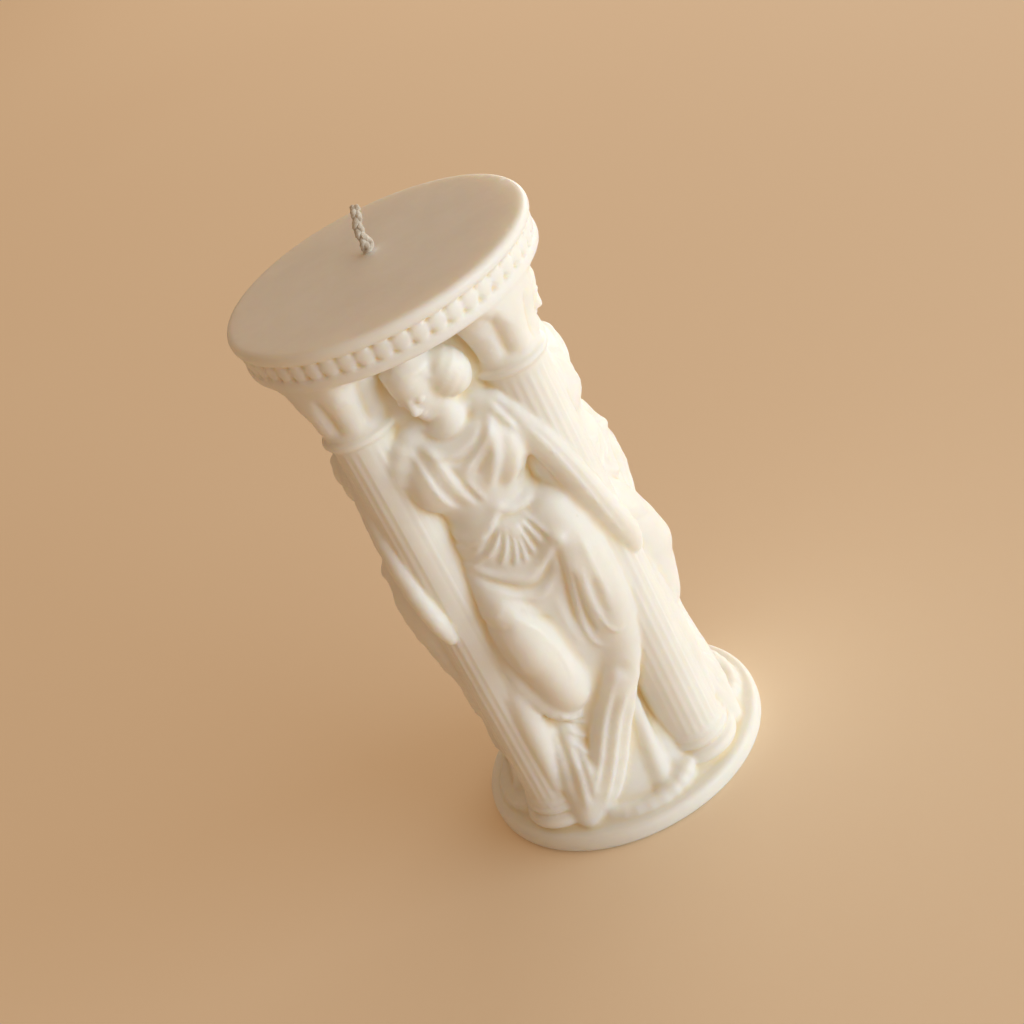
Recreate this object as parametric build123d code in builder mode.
"""Unity candle: a cast wax temple of four fluted columns and four draped figures, with a braided cotton wick.

The candle stands on its plinth: +Z is up and the origin is the centre of its underside. The front
figure faces -Y. The other three figures are the same one, turned by a quarter about the candle's axis.
A place on the casting is given as (azimuth, height, radius): azimuth 0 is the front, growing towards +X.
"""
from build123d import *
import os
from math import cos, floor, pi, sin, tan, radians

# Whole casting (mm)
candle_height = 133.0
plinth_radius = 32.6
plinth_height = 4.5
podium_height = 7.0
podium_radius = 27.0
core_radius = 17.5

# Entablature: cornice band, course of beads and the round top slab
cornice_bottom = 123.9
cornice_height = 2.2
cornice_radius = 31.7
bead_count = 52
bead_radius = 1.78
bead_ring_radius = 30.3
frieze_radius = 30.6
slab_radius = 32.5
slab_height = 2.5
slab_edge = 1.2

# Columns, one at each diagonal
column_count = 4
column_distance = 22.8
column_radius = 7.0
column_foot = 12.0
column_neck = 109.5
flute_count = 20
flute_radius = 0.55
neck_ring_radius = 0.95
capital_foot_radius = 7.1
capital_top_radius = 11.4
capital_leaf_count = 8
leaf_radius = 1.6
leaf_height = 3.6
leaf_curl = 0.5
leaf_tiers = ((1.5, 6.7, 0), (6.4, 8.2, 180 / capital_leaf_count))
column_base_rings = ((7.4, 1.9, 7.6), (10.6, 1.3, 6.9))

# Wick: three cotton strands in a flat braid, cast 4 mm behind the candle's axis
wick_place = (-0.6, 4.2)
wick_bore_radius = 1.25
wick_bottom = 0.6
wick_stub = 10.2
wick_lean = 1.7
braid_pitch = 6.6
braid_width = 0.72
braid_depth = 0.86
strand_radius = 0.35
strand_count = 3

figure_count = 4
end_swell = 1.15


def around(azimuth, height, radius):
    """The point at this azimuth (degrees from the front), height and distance from the candle's axis."""
    return (radius * sin(radians(azimuth)), -radius * cos(radians(azimuth)), height)


def corner_radii(points):
    """The largest arc that each corner of a route can take: 0.45 of its shorter run over tan(turn / 2)."""
    places = [Vector(*point) for point in points]
    radii = []
    for before, corner, after in zip(places, places[1:], places[2:]):
        half_turn = radians((corner - before).get_angle(after - corner)) / 2
        shorter_run = min((corner - before).length, (after - corner).length)
        radii.append(0.45 * shorter_run / tan(half_turn))
    return radii


def ridge(stations, thickness, ends=False):
    """A limb or a rounded fold: a bar through (azimuth, height, radius) stations, with or without ball ends."""
    places = [around(*station) for station in stations]
    with BuildPart() as bar:
        with BuildLine() as route:
            if len(places) == 2:
                Line(*places)
            else:
                FilletPolyline(*places, radius=corner_radii(places))
        with BuildSketch(Plane(origin=route.line @ 0, z_dir=route.line % 0)):
            Circle(thickness)
        sweep(path=route.line)
        if ends:
            with Locations(places[0], places[-1]):
                Sphere(thickness * end_swell)
    return bar.part


# ---------------------------------------------------------------- one fluted column, at the origin
capital_height = cornice_bottom - column_neck

with BuildPart() as column:
    with BuildSketch(Plane.XY.offset(podium_height - 2)):
        Circle(column_radius)
        with PolarLocations(column_radius, flute_count):
            Circle(flute_radius, mode=Mode.SUBTRACT)
    extrude(amount=column_neck - podium_height + 2)
    with BuildSketch(Plane.XY.offset(podium_height - 2)):
        Circle(column_base_rings[0][2])
    extrude(amount=column_foot - podium_height + 2)
    for ring_height, ring_thickness, ring_radius in column_base_rings:
        with Locations((0, 0, ring_height)):
            Torus(ring_radius, ring_thickness)
    with Locations((0, 0, column_neck)):
        Torus(column_radius, neck_ring_radius)
    with BuildSketch(Plane.XZ) as bell:
        with BuildLine():
            Polyline((capital_top_radius, cornice_bottom + 1), (0, cornice_bottom + 1), (0, column_neck),
                     (capital_foot_radius, column_neck))
            Spline((capital_foot_radius, column_neck), (8.3, column_neck + 0.6 * capital_height),
                   (capital_top_radius, cornice_bottom), tangents=((0, 1), (1, 1)))
            Line((capital_top_radius, cornice_bottom), (capital_top_radius, cornice_bottom + 1))
        make_face()
    revolve(axis=Axis.Z)

# Two tiers of acanthus leaves stand against the bell, the upper ones between the lower ones.
with BuildPart() as capital_leaves:
    for tier_foot, tier_radius, tier_turn in leaf_tiers:
        with Locations((0, 0, column_neck + tier_foot)):
            with PolarLocations(tier_radius, capital_leaf_count, start_angle=tier_turn):
                Cylinder(leaf_radius, leaf_height, align=(Align.CENTER, Align.CENTER, Align.MIN))
        with Locations((0, 0, column_neck + tier_foot + leaf_height)):
            with PolarLocations(tier_radius + leaf_curl, capital_leaf_count, start_angle=tier_turn):
                Sphere(leaf_radius * 1.1)

# ---------------------------------------------------------------- one draped figure, facing -Y
# The robed body is round about its own upright axis: (radius, height) from its foot to the shoulders
body_axis_distance = 16.0
body_outline = ((12.4, 3.0), (10.6, 30.0), (11.6, 52.0), (11.8, 70.0), (9.4, 86.0), (10.6, 98.0), (8.6, 107.0))

with BuildPart() as robe:
    with BuildSketch(Plane.XZ.offset(body_axis_distance)):
        with BuildLine():
            Polyline(*body_outline, (0, body_outline[-1][1]), (0, body_outline[0][1]), close=True)
        make_face()
    revolve(axis=Axis((0, -body_axis_distance, 0), (0, 0, 1)))

# Round swellings of the body: (azimuth, height, radius, ball radius)
swellings = (
    (-3, 117.9, 21.3, 5.4),     # head, turned and bowed
    (-19, 98.5, 23.2, 4.0),     # bust
    (14, 98.5, 23.2, 3.9),
)

# Neck and limbs, with round ends: (thickness, stations of azimuth, height and radius)
limbs = (
    (2.6, ((0, 113, 21.5), (1, 105, 20.5))),                      # neck
    (5.6, ((-14, 63, 23.6), (-11, 42, 24.6))),                    # bent thigh and knee
    (4.4, ((24, 74, 22.5), (27, 50, 22.0))),                      # standing leg's hip
    (2.9, ((-27, 106, 20.5), (-36, 98, 22.0), (-33, 90, 20.0))),  # right arm, its hand behind
    (2.8, ((20, 107, 20.5), (29, 95, 23.0), (40, 80, 26.0))),     # left arm in its mantle
    (2.4, ((38, 84, 26.5), (49, 70, 29.5), (58, 59, 29.0))),      # mantle falling to the hand
)

# Folds of the cloth, whose ends are buried in it
folds = (
    (1.3, ((-24, 77, 25.8), (-6, 69.5, 27.2), (14, 75, 26.8))),   # mantle rolled across the hips
    (0.9, ((-16, 105, 23.0), (-6, 91, 26.0))),                    # folds of the bodice
    (0.9, ((12, 105, 22.8), (4, 91, 26.0))),
    (1.3, ((17, 75, 26.5), (13, 47, 27.5))),                      # folds from the left hip
    (1.3, ((22, 74, 26.0), (22, 48, 27.5))),
    (1.6, ((22, 43, 27.0), (-4, 24, 27.5), (-24, 7, 28.5))),      # long hem across the shins
    (1.5, ((15, 28, 25.5), (10, 9, 27.0))),                       # foot end of the standing leg
)

# Pleats that fan out below the girdle: (azimuth, height) of each upper and lower end
pleats = (
    ((1.0, 86.0), (-16, 80)),
    ((2.0, 85.5), (-11, 77)),
    ((3.0, 85.0), (-5, 74)),
    ((4.0, 84.8), (1, 73)),
    ((5.0, 85.0), (7, 73.5)),
    ((6.0, 85.5), (13, 76)),
    ((7.0, 86.0), (18, 80)),
)
pleat_thickness = 0.7
pleat_radii = (25.6, 27.2)

with BuildPart() as figure:
    add(robe.part)
    for azimuth, height, radius, ball_radius in swellings:
        with Locations(around(azimuth, height, radius)):
            Sphere(ball_radius)
    for thickness, stations in limbs:
        add(ridge(stations, thickness, ends=True))
    for thickness, stations in folds:
        add(ridge(stations, thickness))
    for upper_end, lower_end in pleats:
        add(ridge(((*upper_end, pleat_radii[0]), (*lower_end, pleat_radii[1])), pleat_thickness))

# ---------------------------------------------------------------- the casting
frieze_bottom = cornice_bottom + cornice_height
slab_bottom = candle_height - slab_height
bead_height = (frieze_bottom + slab_bottom) / 2

with BuildPart() as wax_body:
    with BuildSketch():
        Circle(plinth_radius)
    extrude(amount=plinth_height)
    fillet(wax_body.edges().group_by(Axis.Z)[-1], 1.6)
    with BuildSketch(Plane.XY.offset(plinth_height - 1)):
        Circle(podium_radius)
    extrude(amount=podium_height - plinth_height + 1, taper=35)
    with BuildSketch():
        Circle(core_radius)
    extrude(amount=cornice_bottom + 1)
    with BuildSketch(Plane.XY.offset(cornice_bottom)):
        Circle(cornice_radius)
    extrude(amount=cornice_height)
    with BuildSketch(Plane.XY.offset(frieze_bottom)):
        Circle(frieze_radius)
    extrude(amount=slab_bottom - frieze_bottom)
    with BuildSketch(Plane.XY.offset(slab_bottom)):
        Circle(slab_radius)
    extrude(amount=slab_height)
    fillet(wax_body.edges().group_by(Axis.Z)[-1], slab_edge)
    with Locations((0, 0, bead_height)):
        with PolarLocations(bead_ring_radius, bead_count):
            Sphere(bead_radius)
    with PolarLocations(column_distance, column_count, start_angle=45):
        add(column.part)
        add(capital_leaves.part)
    with PolarLocations(0, figure_count):
        add(figure.part)
    with Locations((*wick_place, -1)):
        Cylinder(wick_bore_radius, candle_height + 2, align=(Align.CENTER, Align.CENTER, Align.MIN),
                 mode=Mode.SUBTRACT)


# ---------------------------------------------------------------- the wick's strands
def wick_centre(height):
    """The wick runs straight up its bore, and its free stub leans a little towards +X."""
    free = max(0.0, height - candle_height)
    return (wick_place[0] + wick_lean * free / wick_stub, wick_place[1])


def strand_route(phase):
    """One strand's corners: it crosses the braid from side to side and passes over, then under."""
    route = []
    step = braid_pitch / 4
    last = floor((candle_height + wick_stub - wick_bottom) / step - 1 - 4 * phase)
    for index in range(-1, last + 1):
        height = wick_bottom + (index + 1 + phase * 4) * step
        angle = pi / 4 + index * pi / 2
        middle = wick_centre(height)
        across = braid_width * (1 if sin(angle) > 0 else -1)
        depth = braid_depth * sin(2 * angle)
        route.append((middle[0] + across, middle[1] + depth, height))
    return route


os.makedirs("parts", exist_ok=True)
wax_body.part.label = "wax_body"
export_step(wax_body.part, "parts/wax_body.step")

for number in range(strand_count):
    corners = strand_route(number / strand_count)
    with BuildPart() as strand:
        with BuildLine() as course:
            FilletPolyline(*corners, radius=corner_radii(corners))
        with BuildSketch(Plane(origin=course.line @ 0, z_dir=course.line % 0)):
            Circle(strand_radius)
        sweep(path=course.line)
    strand.part.label = f"wick_strand_{number + 1}"
    export_step(strand.part, f"parts/wick_strand_{number + 1}.step")
